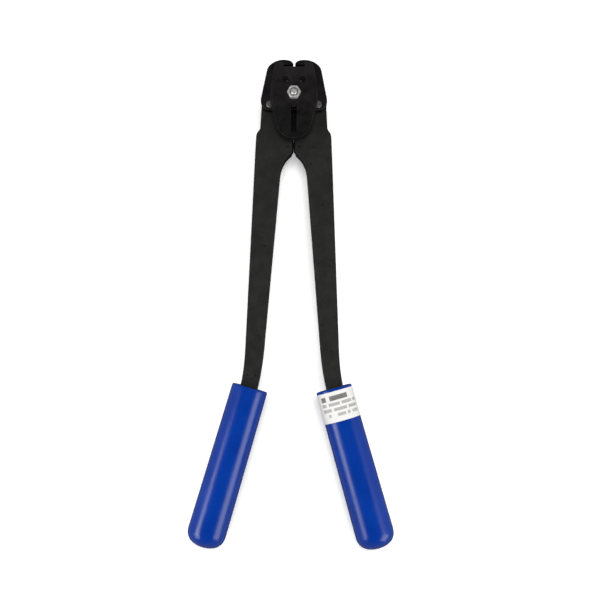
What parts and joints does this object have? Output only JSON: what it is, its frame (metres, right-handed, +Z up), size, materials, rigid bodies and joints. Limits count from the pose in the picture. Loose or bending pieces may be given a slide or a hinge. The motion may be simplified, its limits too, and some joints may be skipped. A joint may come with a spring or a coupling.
{
  "type": "strapping sealer tool",
  "caption": "Long-handled front-action sealer for steel strap: a stacked plate head with hooked jaw pairs and slotted covers crimps a seal when the handles with blue sleeve grips close.",
  "frame": {"origin": "bottom centre of the tool's bounding box, lying on its back with the handles closed", "axes": "+X to the right handle, +Y towards the jaws and their mouth, +Z up out of the front cover that carries the nut"},
  "size_m": [0.1672, 0.4022, 0.0464],
  "materials": {
    "cover_steel": "black oxide, satin, softly worn edges",
    "jaw_steel": "blackened hardened steel, satin",
    "handle_paint": "matt charcoal coating on forged steel, fine mottling",
    "pin_steel": "ground steel",
    "zinc": "bright zinc plate",
    "vinyl": "glossy dipped vinyl, fine grain",
    "sticker": "matt white sticker"
  },
  "bodies": {
    "head": {"cover_front": "cover_steel", "cover_rear": "cover_steel", "punch_front": "jaw_steel", "punch_rear": "jaw_steel", "centre_block": "jaw_steel", "jaw_pin_left": "jaw_steel", "jaw_pin_right": "jaw_steel", "clamp_bolt": "zinc", "clamp_nut": "zinc"},
    "centre_slider": {"centre_pin": "jaw_steel", "pin_spacer_front": "jaw_steel", "pin_spacer_rear": "jaw_steel"},
    "jaw_left": {"jaw_left_front": "jaw_steel", "jaw_left_rear": "jaw_steel", "link_pin_left": "pin_steel"},
    "jaw_right": {"jaw_right_front": "jaw_steel", "jaw_right_rear": "jaw_steel", "link_pin_right": "pin_steel"},
    "handle_left": {"handle_left": "handle_paint", "grip_left": "vinyl"},
    "handle_right": {"handle_right": "handle_paint", "grip_right": "vinyl", "label": "sticker"}
  },
  "joints": [
    {"name": "centre_pin_slide", "type": "slide", "parent": "head", "child": "centre_slider", "axis": [0, -1, 0], "range_m": [0, 0.02097]},
    {"name": "handle_left_swing", "type": "hinge", "parent": "centre_slider", "child": "handle_left", "pos_m": [0, 0.16188, 0.02246], "axis": [0, 0, -1], "range_deg": [0, 62.96]},
    {"name": "handle_right_swing", "type": "hinge", "parent": "centre_slider", "child": "handle_right", "pos_m": [0, 0.16188, 0.02246], "axis": [0, 0, 1], "range_deg": [0, 62.96]},
    {"name": "jaw_left_swing", "type": "hinge", "parent": "head", "child": "jaw_left", "pos_m": [-0.00705, 0.18328, 0.02246], "axis": [0, 0, 1], "range_deg": [0, 30.73]},
    {"name": "jaw_right_swing", "type": "hinge", "parent": "head", "child": "jaw_right", "pos_m": [0.00705, 0.18328, 0.02246], "axis": [0, 0, -1], "range_deg": [0, 30.73]}
  ],
  "couplings": [
    {"joint": "handle_right_swing", "follows": "handle_left_swing", "ratio": 1},
    {"joint": "centre_pin_slide", "follows": "handle_left_swing", "m_per_rad": 0.019083},
    {"joint": "jaw_left_swing", "follows": "handle_left_swing", "ratio": 0.48796},
    {"joint": "jaw_right_swing", "follows": "handle_left_swing", "ratio": 0.48796}
  ]
}
